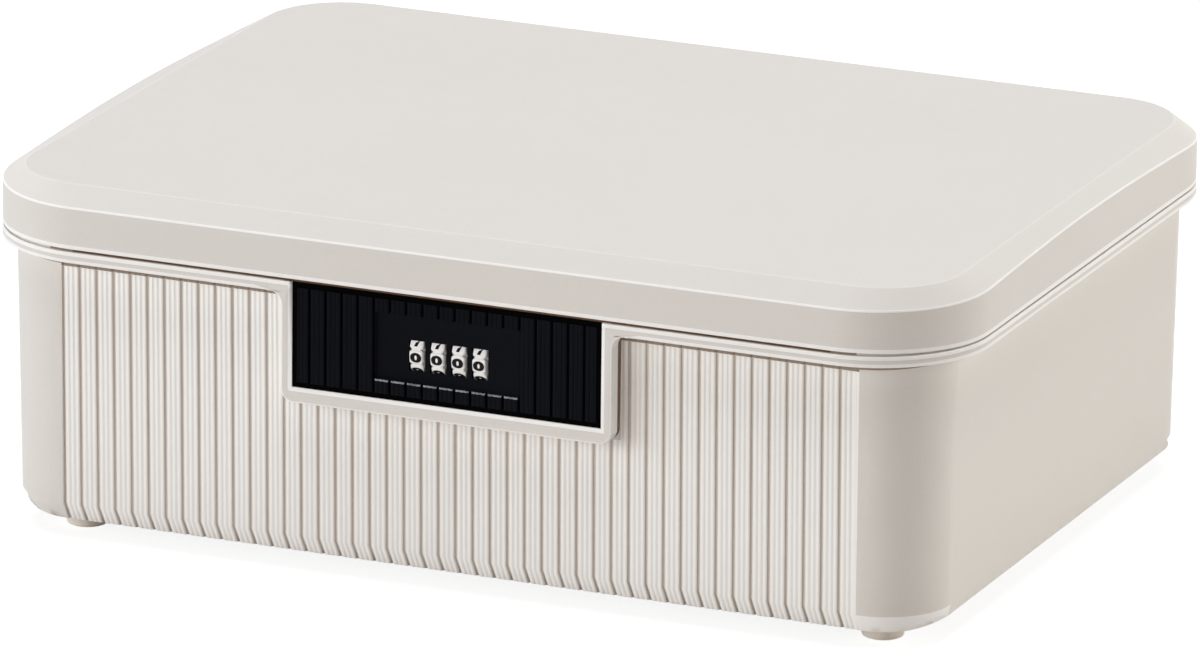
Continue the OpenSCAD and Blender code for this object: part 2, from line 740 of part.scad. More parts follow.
// Wheel k, with ten digit places. Inside are a seat for its gate disc, ten notches and a free chamber.
module number_wheel(k) {
    right = wheel_w / 2;
    notch_x = right - gate_recess - notch_l;
    color(ivory)
    on_axis(wheel_x(k)) difference() {
        bar_x(wheel_r, -right, right);
        bar_x(gate_r + 0.4, right - gate_recess, right + cut);
        bar_x(hub_r + run, -right - cut, right + cut);
        bar_x(lug_r + 0.3, notch_x - chamber_l, notch_x);
        for (i = [0:digits - 1]) rotate([i * 360 / digits, 0, 0]) {
            block([notch_x - 0.1, 0, -lug_w / 2 - notch_gap],
                [right - gate_recess + 0.1, lug_r + 0.3, lug_w / 2 + notch_gap]);
            rotate([180 / digits, 0, 0]) translate([0, wheel_r + 0.15, 0])
                bar_x(grip_r, -right - cut, right + cut);
        }
    }
}

// Gate disc k, with its hub and the lug that couples it to its wheel. The flat lets the comb pass.
module gate_disc(k) {
    lug_x = -gate_off + wheel_w / 2 - gate_recess - notch_l / 2 - lug_l / 2;
    color(steel)
    on_axis(wheel_x(k) + gate_off) difference() {
        union() {
            difference() {
                bar_x(gate_r, -gate_t / 2, gate_t / 2);
                block([-gate_t, gate_flat, -gate_r - cut], [gate_t, gate_r + cut, gate_r + cut]);
            }
            bar_x(hub_r, -gate_t / 2 - hub_l, 0);
            block([lug_x, 0, -lug_w / 2], [lug_x + lug_l, lug_r, lug_w / 2]);
        }
        bar_x(axle_r + run, -hub_l - gate_t, gate_t);
    }
}

box_body();
foot(-1, -1);  // foot_front_left
foot(1, -1);  // foot_front_right
foot(-1, 1);  // foot_rear_left
foot(1, 1);  // foot_rear_right
hinge_pin(-1);  // hinge_pin_left
hinge_pin(1);  // hinge_pin_right
lid_shell();
catch_comb();
catch_screws();
lock_face();
lock_case();
case_cover();
cover_screws();
lock_screws();
detent_spring();
wheel_axle();
axle_clip();
reset_slider();
number_wheel(1);  // number_wheel_1
number_wheel(2);  // number_wheel_2
number_wheel(3);  // number_wheel_3
number_wheel(4);  // number_wheel_4
gate_disc(1);  // gate_disc_1
gate_disc(2);  // gate_disc_2
gate_disc(3);  // gate_disc_3
gate_disc(4);  // gate_disc_4
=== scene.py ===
"""Looks of the lockable storage box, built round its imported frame.

Scene units are metres, and meshes are built in millimetres and scaled by MM. The front faces -Y, +Z is up,
and the floor is z = 0.
"""
import json
import math

import bmesh
import bpy
from mathutils import Matrix, Vector


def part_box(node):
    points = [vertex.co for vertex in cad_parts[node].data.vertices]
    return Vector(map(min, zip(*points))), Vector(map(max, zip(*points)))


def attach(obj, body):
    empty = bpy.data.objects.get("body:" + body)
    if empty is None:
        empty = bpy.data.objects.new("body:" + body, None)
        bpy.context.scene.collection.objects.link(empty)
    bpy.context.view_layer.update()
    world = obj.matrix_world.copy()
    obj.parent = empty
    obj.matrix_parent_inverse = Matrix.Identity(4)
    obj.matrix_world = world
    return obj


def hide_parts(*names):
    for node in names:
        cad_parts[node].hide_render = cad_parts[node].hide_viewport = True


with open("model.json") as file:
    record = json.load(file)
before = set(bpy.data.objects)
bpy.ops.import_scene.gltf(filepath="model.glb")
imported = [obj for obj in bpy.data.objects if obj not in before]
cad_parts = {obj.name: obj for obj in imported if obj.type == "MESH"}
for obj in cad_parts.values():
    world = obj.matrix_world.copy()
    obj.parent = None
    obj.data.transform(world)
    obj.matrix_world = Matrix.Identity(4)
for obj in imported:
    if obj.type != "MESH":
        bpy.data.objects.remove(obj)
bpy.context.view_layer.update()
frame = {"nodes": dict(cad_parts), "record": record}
nodes = frame["nodes"]
scene = bpy.context.scene
MM = 0.001
ACROSS, ALONG, UP = (1, 0, 0), (0, 1, 0), (0, 0, 1)

# Sizes that the looks share with the model, in millimetres
WHEELS = ["number_wheel_1", "number_wheel_2", "number_wheel_3", "number_wheel_4"]
AXIS_Y, AXIS_Z = -127.2, 85.3
WHEEL_W, WHEEL_BORE = 5.5, 3.46
DIGITS = 10
DIGIT_STEP = 360 / DIGITS
RIM_MID_Y, RIM_FRONT_Y, RIM_TOP_Z, RIM_BEVEL = -2.7, -137.7, 106, 0.6
WALL_LOW_Z, WALL_TOP_Z, FLOOR_Z = 13.1, 102, 6.5
WALL_LOW_Y, WALL_TOP_Y, FLOOR_EDGE_Y = -128.45, -129.95, -124.25
RIB_HALF = 146.35
WINDOW_HALF, WINDOW_LOW_Z = 56.8, 68.9
COLLAR_HALF, COLLAR_LOW_Z = 60.8, 63.5
PANEL_LOW_Z, LOCK_FACE_Y = 75.7, -137.3
HINGE_X, HINGE_Y, HINGE_Z = 95, 132.9, 106.2
KNUCKLE_L, KNUCKLE_STEP, KNUCKLE_R, POCKET_R, PIN_BORE = 8.4, 8.8, 3, 3.4, 1.56


# Camera

# Degrees to the right of the front, up, and of roll, then the point in the middle, its distance and the
# distance past which nothing is seen, in metres
VIEW_ANGLES = (22.976, 16.88, 0.583)
VIEW_TARGET = (-0.0009, -0.0027, 0.0614)
VIEW_DISTANCE, VIEW_FAR = 4.4831, 50
# Width of the sensor, and focal length and width of the photograph in its own pixels
SENSOR_W, FOCAL_PIXELS, PHOTO_W = 36, 12970.5, 1200


def make_camera():
    """The photograph's view: a long lens, a little above the lid and right of the front."""
    azimuth, elevation, roll = (math.radians(a) for a in VIEW_ANGLES)
    back = Vector((math.sin(azimuth) * math.cos(elevation), -math.cos(azimuth) * math.cos(elevation),
                   math.sin(elevation)))
    right = Vector((math.cos(azimuth), math.sin(azimuth), 0))
    up = back.cross(right)
    x_axis = right * math.cos(roll) + up * math.sin(roll)
    y_axis = back.cross(x_axis)
    camera = bpy.data.objects.new("camera", bpy.data.cameras.new("camera"))
    scene.collection.objects.link(camera)
    turn = Matrix((x_axis, y_axis, back)).transposed().to_4x4()
    camera.matrix_world = Matrix.Translation(Vector(VIEW_TARGET) + back * VIEW_DISTANCE) @ turn
    camera.data.sensor_width = SENSOR_W
    camera.data.lens = FOCAL_PIXELS / PHOTO_W * SENSOR_W
    camera.data.clip_end = VIEW_FAR
    scene.camera = camera


# Materials

# Scales of the speckle in the plastic and of the grain in the steel, in cells per metre
SPECKLE_SCALE, STEEL_SCALE = 1100.0, 900.0
# How many times finer the patches of gloss are than those of colour
GLOSS_FINER = 12


class Nodes:
    """The nodes of a material or a world, which are added and joined by name."""

    def __init__(self, owner, output="ShaderNodeOutputMaterial"):
        owner.use_nodes = True
        self.owner = owner
        self.tree = owner.node_tree
        self.tree.nodes.clear()
        self.output = self.add(output)

    def add(self, kind, **values):
        """Adds a node. A value goes to the input of its name, or else to the setting."""
        node = self.tree.nodes.new(kind)
        for key, value in values.items():
            if key in node.inputs:
                node.inputs[key].default_value = value
            else:
                setattr(node, key, value)
        return node

    def join(self, source, target):
        """Joins an output to an input."""
        self.tree.links.new(source, target)


def noise(made, scale, detail=3.0, roughness=0.55):
    """Noise in the object's own space, so that it stays on the part as the part moves."""
    where = made.add("ShaderNodeTexCoord")
    grain = made.add("ShaderNodeTexNoise", Scale=scale, Detail=detail, Roughness=roughness)
    made.join(where.outputs["Object"], grain.inputs["Vector"])
    return grain.outputs["Fac"]


def spread(made, source, low, high, start=0.3, stop=0.7):
    """Maps a value from start..stop to low..high."""
    node = made.add("ShaderNodeMapRange")
    for key, value in (("From Min", start), ("From Max", stop), ("To Min", low), ("To Max", high)):
        node.inputs[key].default_value = value
    made.join(source, node.inputs["Value"])
    return node.outputs["Result"]


def tint(made, factor, dark, light):
    """A colour between dark and light."""
    node = made.add("ShaderNodeMix", data_type="RGBA")
    node.inputs[6].default_value = (*dark, 1)
    node.inputs[7].default_value = (*light, 1)
    made.join(factor, node.inputs[0])
    return node.outputs[2]


def plastic(name, dark, light, rough=(0.42, 0.5), grain_scale=2600.0, grain_height=0.02, patch_scale=9.0,
            specular=0.2):
    """Moulded plastic: a fine grain and speckle, faint uneven gloss and a faint drift of colour."""
    made = Nodes(bpy.data.materials.new(name))
    shader = made.add("ShaderNodeBsdfPrincipled")
    shader.inputs["Specular IOR Level"].default_value = specular
    drift = spread(made, noise(made, patch_scale), 0, 0.5)
    speckle = spread(made, noise(made, SPECKLE_SCALE, 1.0), 0, 0.5)
    both = made.add("ShaderNodeMath", operation="ADD")
    made.join(drift, both.inputs[0])
    made.join(speckle, both.inputs[1])
    made.join(tint(made, both.outputs[0], dark, light), shader.inputs["Base Color"])
    made.join(spread(made, noise(made, patch_scale * GLOSS_FINER), *rough), shader.inputs["Roughness"])
    bump = made.add("ShaderNodeBump", Strength=1.0, Distance=grain_height * MM)
    made.join(noise(made, grain_scale, 2.0), bump.inputs["Height"])
    made.join(bump.outputs["Normal"], shader.inputs["Normal"])
    made.join(shader.outputs["BSDF"], made.output.inputs["Surface"])
    return made.owner


def matt(name, dark, light):
    """The same plastic with little gloss, for painted shade in recesses and gaps."""
    return plastic(name, dark, light, rough=(0.5, 0.6), grain_height=0.01, specular=0.1)


def metal(name, dark, light, rough):
    """Brushed metal with a fine grain."""
    made = Nodes(bpy.data.materials.new(name))
    shader = made.add("ShaderNodeBsdfPrincipled", Metallic=1.0)
    grain = noise(made, STEEL_SCALE, 4.0)
    made.join(tint(made, spread(made, grain, 0, 1), dark, light), shader.inputs["Base Color"])
    made.join(spread(made, grain, *rough), shader.inputs["Roughness"])
    made.join(shader.outputs["BSDF"], made.output.inputs["Surface"])
    return made.owner


# The box's plastic, then painted highlights on reeds and edges, and painted shade in recesses and gaps
SHELL = plastic("shell_plastic", (0.748, 0.7175, 0.672), (0.774, 0.7435, 0.698))
# Painted highlight on the reeds, the ribs' right end, the collar's outer sides and the lower right bevel
HIGHLIGHT = plastic("highlight_plastic", (0.975, 0.965, 0.94), (0.99, 0.98, 0.955))
# Painted half light in the valleys between the reeds: darker than their highlight, lighter than the plain
# plastic
VALLEY_HALF_LIGHT = plastic("valley_half_light_plastic", (0.86, 0.84, 0.805), (0.88, 0.86, 0.825))
# Painted highlight on rounded edges, the rim's lines, the window's chamfer and the skirt's lower edge
EDGE_HIGHLIGHT = plastic("edge_highlight_plastic", (0.955, 0.945, 0.925), (0.975, 0.965, 0.945), rough=(0.38, 0.45),
               grain_height=0.01)
# Faint painted highlight on the round at the edge of the lid's top
SOFT_HIGHLIGHT = plastic("soft_highlight_plastic", (0.802, 0.77, 0.727), (0.823, 0.79, 0.747), rough=(0.4, 0.48),
                    grain_height=0.01)
# Painted shade in the ribs' grooves
GROOVE_SHADE = matt("groove_shade_plastic", (0.62, 0.555, 0.50), (0.67, 0.605, 0.55))
# Dark painted shade in the crease where the collar meets the wall
CREASE_SHADE = matt("crease_shade_plastic", (0.20, 0.125, 0.08), (0.25, 0.17, 0.12))
SHADE = matt("shade_plastic", (0.30, 0.235, 0.185), (0.35, 0.285, 0.235))
# Painted shadow in the gap under the lid's front
GAP_SHADOW = matt("gap_shadow_plastic", (0.12, 0.06, 0.035), (0.17, 0.10, 0.06))
# Paler painted shade in the gap under the lid on its sides and at its back
SIDE_GAP_SHADE = matt("side_gap_shade_plastic", (0.74, 0.70, 0.64), (0.79, 0.75, 0.69))
# The lock's cover, its painted shade and its painted highlight, the wheels, feet and digits, and the steel
BLACK = plastic("lock_plastic", (0.0028, 0.0032, 0.0048), (0.0042, 0.0048, 0.0070), rough=(0.34, 0.5),
                grain_scale=2200.0, grain_height=0.03, specular=0.04)
BLACK_SHADE = plastic("lock_shade_plastic", (0.0010, 0.0010, 0.0013), (0.0015, 0.0015, 0.0019), rough=(0.5, 0.6),
                grain_scale=2200.0, grain_height=0.03, specular=0.01)
BLACK_HIGHLIGHT = plastic("lock_highlight_plastic", (0.05, 0.052, 0.058), (0.40, 0.41, 0.43), rough=(0.3, 0.4),
                     grain_scale=2200.0, grain_height=0.01, patch_scale=420.0)
WHITE = plastic("wheel_plastic", (0.93, 0.92, 0.90), (0.96, 0.95, 0.93), rough=(0.25, 0.32),
                grain_scale=1800.0, grain_height=0.008, specular=0.3)
RUBBER = plastic("foot_rubber", (0.95, 0.88, 0.78), (0.97, 0.90, 0.81), rough=(0.6, 0.75), grain_scale=3000.0)
INK = plastic("ink", (0.006, 0.006, 0.007), (0.009, 0.009, 0.010), rough=(0.5, 0.6), grain_scale=3000.0,
              grain_height=0.002, specular=0.1)
STEEL = metal("zinc_steel", (0.52, 0.53, 0.55), (0.66, 0.67, 0.69), (0.24, 0.42))

SLOT_MATERIALS = {"shell": SHELL, "lock_black": BLACK, "wheel_white": WHITE, "steel": STEEL,
                  "foot_rubber": RUBBER}


def dress_nodes():
    """Gives each solid of the model the material of its slot."""
    slots = {s["node"]: s["material_slot"] for s in frame["record"]["subparts"]}
    for name, node in nodes.items():
        node.data.materials.clear()
        node.data.materials.append(SLOT_MATERIALS[slots[name]])


# Mesh helpers

# Lengths closer than this count as the same, and vertices closer than WELD are one, in millimetres
CLOSE, WELD = 0.02, 0.001


def add_piece(name, work, materials, body, smooth=30):
    """Makes an object of an edited mesh in millimetres, with its materials, and gives it a body."""
    mesh = bpy.data.meshes.new(name)
    work.to_mesh(mesh)
    work.free()
    mesh.transform(Matrix.Scale(MM, 4))
    for material in materials:
        mesh.materials.append(material)
    mesh.shade_smooth()
    mesh.set_sharp_from_angle(angle=math.radians(smooth))
    piece = bpy.data.objects.new(name, mesh)
    scene.collection.objects.link(piece)
    piece.modifiers.new("normals", "WEIGHTED_NORMAL").keep_sharp = True
    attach(piece, body)
    return piece


def copy_of(name):
    """A welded copy of a node's mesh, in millimetres."""
    work = bmesh.new()
    work.from_mesh(nodes[name].data)
    bmesh.ops.transform(work, matrix=Matrix.Scale(1 / MM, 4), verts=work.verts)
    bmesh.ops.remove_doubles(work, verts=work.verts, dist=WELD)
    for face in work.faces:
        face.material_index = 0
    return work


def near(value, target):
    """Whether two lengths are the same but for rounding."""
    return abs(value - target) < CLOSE


def middle_of(face):
    """The mean of a face's corners."""
    return face.calc_center_median()


def clamped(share):
    """A share kept between 0 and 1."""
    return min(1.0, max(0.0, share))


def smooth_step(share):
    """A share kept between 0 and 1 and eased in and out."""
    share = clamped(share)
    return share * share * (3 - 2 * share)


def cut(work, faces, place, way):
    """Cuts faces along a plane."""
    edges = list(dict.fromkeys(e for f in faces for e in f.edges))
    corners = list(dict.fromkeys(v for f in faces for v in f.verts))
    bmesh.ops.bisect_plane(work, geom=faces + edges + corners, plane_co=place, plane_no=way, dist=WELD)


def bevel(work, edges, width, segments, material):
    """Rounds edges and gives the new faces a material slot."""
    bmesh.ops.bevel(work, geom=edges, offset=width, offset_type="OFFSET", segments=segments, profile=0.5,
                    affect="EDGES", clamp_overlap=True, material=material)


def rounded(path, steps=4):
    """Rounds the corners of an open path.

    A step of the path is (across, up, radius, material of the round, material past it), and a point given
    back is (across, up, material past it).
    """
    points = [(*path[0][:2], path[0][4])]
    for before, here, after in zip(path, path[1:], path[2:]):
        corner, radius, round_material, next_material = Vector(here[:2]), *here[2:]
        if not radius:
            points.append((*corner, next_material))
            continue
        back = (Vector(before[:2]) - corner).normalized()
        ahead = (Vector(after[:2]) - corner).normalized()
        half = back.angle(ahead) / 2
        middle = corner + (back + ahead).normalized() * radius / math.sin(half)
        start = corner + back * radius / math.tan(half) - middle
        stop = corner + ahead * radius / math.tan(half) - middle
        for i in range(steps + 1):
            point = middle + start.lerp(stop, i / steps).normalized() * radius
            points.append((*point, round_material if i < steps else next_material))
    return points + [(*path[-1][:2], path[-1][4])]


def ring(half_x, half_y, radius, corner_steps=14, side_steps=20):
    """Points of a rounded rectangle, anticlockwise from the right side."""
    points = []
    for turn, (side_x, side_y) in enumerate(((1, 1), (-1, 1), (-1, -1), (1, -1))):
        middle = Vector((side_x * (half_x - radius), side_y * (half_y - radius)))
        for i in range(corner_steps + 1):
            angle = math.radians(90 * (turn + i / corner_steps))
            points.append(middle + Vector((math.cos(angle), math.sin(angle))) * radius)
    corner = corner_steps + 1
    filled = []
    for k in range(4):
        filled += points[k * corner:(k + 1) * corner]
        start, stop = filled[-1], points[(k + 1) * corner % len(points)]
        filled += [start.lerp(stop, i / side_steps) for i in range(1, side_steps)]
    return filled


def skin(work, rings, closed=False, materials=()):
    """Joins rings of as many vertices by faces, and closes the ends unless the rings come round."""
    pairs = list(zip(rings, rings[1:])) + ([(rings[-1], rings[0])] if closed else [])
    count = len(rings[0])
    for k, (low, high) in enumerate(pairs):
        for i in range(count):
            j = (i + 1) % count
            face = work.faces.new((low[i], low[j], high[j], high[i]))
            face.material_index = materials[k] if materials else 0
    if not closed:
        work.faces.new(list(reversed(rings[0])))
        work.faces.new(rings[-1])


def bar_x(work, x0, x1, y, z, radius, sides=40):
    """A round bar along X."""
    angles = [2 * math.pi * i / sides for i in range(sides)]
    loops = [[work.verts.new((x, y + radius * math.cos(a), z + radius * math.sin(a))) for a in angles]
             for x in (x0, x1)]
    skin(work, loops)


def block(work, low, high):
    """A box between two corners."""
    middle = (Vector(low) + Vector(high)) / 2
    size = Vector(high) - Vector(low)
    bmesh.ops.create_cube(work, size=1, matrix=Matrix.Translation(middle) @ Matrix.Diagonal((*size, 1)))


def cut_or_join(work, tool, operation, materials):
    """The solid of a mesh after another one is cut from it or joined to it."""
    holders = []
    for part in (work, tool):
        bmesh.ops.recalc_face_normals(part, faces=part.faces)
        mesh = bpy.data.meshes.new("work")
        part.to_mesh(mesh)
        part.free()
        for material in materials:
            mesh.materials.append(material)
        holders.append(bpy.data.objects.new("work", mesh))
        scene.collection.objects.link(holders[-1])
    change = holders[0].modifiers.new("change", "BOOLEAN")
    change.operation, change.object, change.solver = operation, holders[1], "EXACT"
    change.use_self = operation == "UNION"
    bpy.context.view_layer.update()
    changed = holders[0].evaluated_get(bpy.context.evaluated_depsgraph_get())
    done = bmesh.new()
    done.from_mesh(bpy.data.meshes.new_from_object(changed))
    for holder in holders:
        bpy.data.objects.remove(holder)
    return done


# Tray

# The tray's materials and their places in the list
TRAY_MATERIALS = [SHELL, HIGHLIGHT, GROOVE_SHADE, EDGE_HIGHLIGHT, CREASE_SHADE, SHADE, VALLEY_HALF_LIGHT]
TRAY_SHELL, TRAY_HIGHLIGHT, TRAY_GROOVE_SHADE, TRAY_EDGE_HIGHLIGHT, TRAY_CREASE_SHADE, TRAY_SHADE, TRAY_VALLEY_HALF_LIGHT = range(7)
# Share of the depth that stays in reeds, in grooves and in the half groove at the right end, and its width
REED_KEEP, GROOVE_KEEP, END_KEEP, END_W = 0.9, 0.75, 0.1, 0.7
# Depths past which a face belongs to a valley or a groove, and the largest depth of the ribs
VALLEY_DEEP, REED_DEEP, RIB_DEEP = 0.15, 0.5, 1.4
# Widths of the collar's rounded edge and of the window's chamfer, and how far back the chamfer goes
OUTLINE_BEVEL, WINDOW_BEVEL, WINDOW_DROP = 0.6, 1.3, 0.5
# Width of the painted highlight lines along the rim, where the fillets beside the collar end, over what
# length the rim's edge runs down to them, and how far past the collar a face still belongs to it
BORDER_W, FILLET_X, FILLET_RUN, COLLAR_MORE = 0.75, 65.3, 5, 6
# Middle of the rim's round corners, and the radius past which a point is outside on the rim
CORNER_X, CORNER_Y, CORNER_R = 139, 94, 40
# Where the floor starts to rise, how soon it has risen at the back, and how far the side walls' edges go
SIDE_RUN, BACK_RUN, SIDE_OUT, SIDE_UP = 159, 4, 3.5, 2.6
# From where to where the collar's sides get dark painted shade, and how far behind the first a face to be cut
# may lie
CREASE_Y, CREASE_END_Y, CREASE_REACH = -132.6, -128, 4
# Lower edge of the shade under the rim, its rise past the ribs, and how it thins out round the corners
SHADE_Z, SHADE_RISE, SHADE_TAPER, SHADE_TAPER_MAX = 98.5, 0.8, 0.055, 2
# How far below the shade the middle of a wall's face may lie for it to be cut
SHADE_REACH = 60
# How far back the shade is cut, how far back it is painted, how far back it covers the ribs, and where the
# round corners are past
SHADE_CUT_Y, SHADE_END_Y, RIB_END_Y, CORNER_END_Y = -104, -100, -125, -90
# Just in front of the plain wall
WALL_FRONT_Y = WALL_TOP_Y - 0.2
# Slack of a place on the tray, and a wider one
SLACK, WIDE_SLACK = 0.1, 0.5
# Share of a face's normal along an axis: straight along it, nearly, mostly, half, partly, a little and hardly
STRAIGHT, NEARLY, MOSTLY, HALF, PARTLY, LITTLE, HARDLY = 0.99, 0.97, 0.9, 0.5, 0.3, 0.15, 0.1


def wall_y(z):
    """How far forward the plain front wall stands at a height."""
    if z < WALL_LOW_Z:
        return FLOOR_EDGE_Y + (WALL_LOW_Y - FLOOR_EDGE_Y) * (z - FLOOR_Z) / (WALL_LOW_Z - FLOOR_Z)
    return WALL_LOW_Y + (WALL_TOP_Y - WALL_LOW_Y) * (z - WALL_LOW_Z) / (WALL_TOP_Z - WALL_LOW_Z)


def rib_depth(vertex):
    """Depth of a vertex behind the front wall's plain face, or None off the ribs."""
    x, y, z = vertex.co
    if abs(x) > RIB_HALF + SLACK or z > WALL_TOP_Z + SLACK:
        return None
    depth = y - wall_y(z)
    return depth if CLOSE < depth < RIB_DEEP else None


def on_outline(edge):
    """Whether an edge bounds the collar's flat front."""
    if len(edge.link_faces) != 2 or not all(near(v.co.y, RIM_FRONT_Y) for v in edge.verts):
        return False
    flat = [abs(f.normal.y) for f in edge.link_faces]
    return max(flat) > STRAIGHT and min(flat) < PARTLY


def in_window(edge):
    """Whether an edge belongs to the window of the lock."""
    return all(abs(v.co.x) < WINDOW_HALF + SLACK / 2 and v.co.z > WINDOW_LOW_Z - SLACK / 2
               for v in edge.verts)


def on_rim(point):
    """Whether a point lies on the outside of the rim."""
    across, along = abs(point.x) - CORNER_X, abs(point.y - RIM_MID_Y) - CORNER_Y
    return math.hypot(max(across, 0), max(along, 0)) > CORNER_R


def on_front(face):
    """Whether a face lies in the flat front of the rim and the collar."""
    return face.normal.y < -STRAIGHT and near(middle_of(face).y, RIM_FRONT_Y)


def on_collar_side(face):
    """Whether a face below the rim looks sideways and lies no further out than the collar's fillets."""
    middle = middle_of(face)
    return (abs(face.normal.y) < PARTLY and abs(middle.x) < COLLAR_HALF + COLLAR_MORE
            and middle.z < WALL_TOP_Z)


def flatten_ribs(work):
    """Makes the ribs a little shallower, and nearly fills the half groove at their right end."""
    for vertex in work.verts:
        depth = rib_depth(vertex)
        if depth is None:
            continue
        keep = REED_KEEP if depth < REED_DEEP else GROOVE_KEEP
        if vertex.co.x >= RIB_HALF - END_W:
            keep = END_KEEP
        vertex.co.y -= depth * (1 - keep)


def paint_ribs(work):
    """Paints highlights on reeds, rim edges and the lower right bevel, half light in valleys, and shade in
    grooves.
    """
    for face in work.faces:
        depths = [rib_depth(v) for v in face.verts]
        middle, normal = middle_of(face), face.normal
        at_end = RIB_HALF - END_W - SLACK < middle.x < RIB_HALF + SLACK and FLOOR_Z < middle.z < WALL_TOP_Z
        # Painted highlight on the ribs' right end
        if at_end and normal.y < HALF:
            face.material_index = TRAY_HIGHLIGHT
        elif None not in depths and abs(normal.z) < MOSTLY:
            # Painted shade in grooves, half light in valleys and highlight on reeds
            if max(depths) > REED_DEEP:
                face.material_index = TRAY_GROOVE_SHADE
            else:
                face.material_index = TRAY_VALLEY_HALF_LIGHT if max(depths) > VALLEY_DEEP else TRAY_HIGHLIGHT
        # Painted highlight on the rim's rounded edges
        elif (middle.z > WALL_TOP_Z - SLACK and LITTLE < abs(normal.z) < NEARLY
                and abs(middle.y) < -RIM_FRONT_Y):
            face.material_index = TRAY_EDGE_HIGHLIGHT
        # Painted highlight on the bevel at the lower right corner
        elif (FLOOR_Z + WIDE_SLACK < middle.z < WALL_LOW_Z - WIDE_SLACK and normal.z < -PARTLY
                and middle.x > RIB_HALF - WIDE_SLACK and middle.y < CORNER_END_Y):
            face.material_index = TRAY_HIGHLIGHT


def close_notch(work):
    """Lets the rim's lower edge run into the rounding at the collar's upper end."""
    for place in (FILLET_X, FILLET_X + FILLET_RUN):
        for side in (-1, 1):
            rim = [f for f in work.faces if middle_of(f).y < RIM_FRONT_Y + 1
                   and middle_of(f).z > WALL_TOP_Z + SLACK / 2]
            cut(work, rim, (side * place, 0, 0), ACROSS)
    for vertex in work.verts:
        x, y, z = vertex.co
        if (COLLAR_HALF - SLACK < abs(x) < FILLET_X + SLACK and near(y, RIM_FRONT_Y)
                and near(z, WALL_TOP_Z + RIM_BEVEL)):
            vertex.co.z = WALL_TOP_Z


def rim_lines(work):
    """Painted highlight lines along the upper and the lower edge of the rim."""
    low, high = WALL_TOP_Z + RIM_BEVEL + BORDER_W, RIM_TOP_Z - RIM_BEVEL - BORDER_W
    for height in (low, high):
        rim = [f for f in work.faces if abs(f.normal.z) < HARDLY and on_rim(middle_of(f))
               and max(v.co.z for v in f.verts) > WALL_TOP_Z + 1
               and (height == high or abs(middle_of(f).x) > FILLET_X)]
        cut(work, rim, (0, 0, height), UP)
    # Painted highlight lines on the rim
    for face in work.faces:
        middle = middle_of(face)
        in_low_line = WALL_TOP_Z < middle.z < low and abs(middle.x) > FILLET_X
        if abs(face.normal.z) < HARDLY and on_rim(middle) and (middle.z > high or in_low_line):
            face.material_index = TRAY_EDGE_HIGHLIGHT
    for vertex in work.verts:
        x, y, z = vertex.co
        if near(abs(x), FILLET_X) and near(y, RIM_FRONT_Y) and near(z, low):
            vertex.co.z = WALL_TOP_Z + OUTLINE_BEVEL


def window_chamfer(work):
    """A chamfer round the window of the lock in the collar's flat front, painted as a highlight."""
    wide, low = WINDOW_HALF + WINDOW_BEVEL, WINDOW_LOW_Z - WINDOW_BEVEL
    for place, way in (((0, 0, low), UP), ((wide, 0, 0), ACROSS), ((-wide, 0, 0), ACROSS)):
        front = [f for f in work.faces if on_front(f) and abs(middle_of(f).x) < COLLAR_HALF + COLLAR_MORE]
        cut(work, front, place, way)
    # The chamfer gets a painted highlight
    for face in work.faces:
        if on_front(face) and abs(middle_of(face).x) < wide and middle_of(face).z > low:
            face.material_index = TRAY_EDGE_HIGHLIGHT
    for vertex in work.verts:
        x, y, z = vertex.co
        beside = near(abs(x), WINDOW_HALF) and z > WINDOW_LOW_Z - CLOSE
        below = near(z, WINDOW_LOW_Z) and abs(x) < WINDOW_HALF
        if near(y, RIM_FRONT_Y) and (beside or below):
            vertex.co.y += WINDOW_DROP


def paint_collar_sides(work):
    """Paints the collar's sides: dark shade in the crease beside the wall, and a highlight in front of it."""
    sides = [f for f in work.faces if on_collar_side(f) and middle_of(f).y < CREASE_Y + CREASE_REACH
             and middle_of(f).z > COLLAR_LOW_Z - SLACK
             and not (abs(middle_of(f).x) < WINDOW_HALF + SLACK and middle_of(f).z > WINDOW_LOW_Z)]
    cut(work, sides, (0, CREASE_Y, 0), ALONG)
    for face in work.faces:
        if face.material_index != TRAY_SHELL or not on_collar_side(face):
            continue
        middle = middle_of(face)
        outside = abs(middle.x) > COLLAR_HALF - SLACK
        # Dark painted shade in the crease
        if (CREASE_Y < middle.y < CREASE_END_Y and (outside or middle.z < WINDOW_LOW_Z)
                and all(v.co.z > COLLAR_LOW_Z - SLACK for v in face.verts)
                and min(v.co.y for v in face.verts) < WALL_TOP_Y - WIDE_SLACK):
            face.material_index = TRAY_CREASE_SHADE
        # Painted highlight on the collar's outer sides in front of the crease
        elif outside and RIM_FRONT_Y < middle.y < CREASE_Y and middle.z > COLLAR_LOW_Z:
            face.material_index = TRAY_HIGHLIGHT


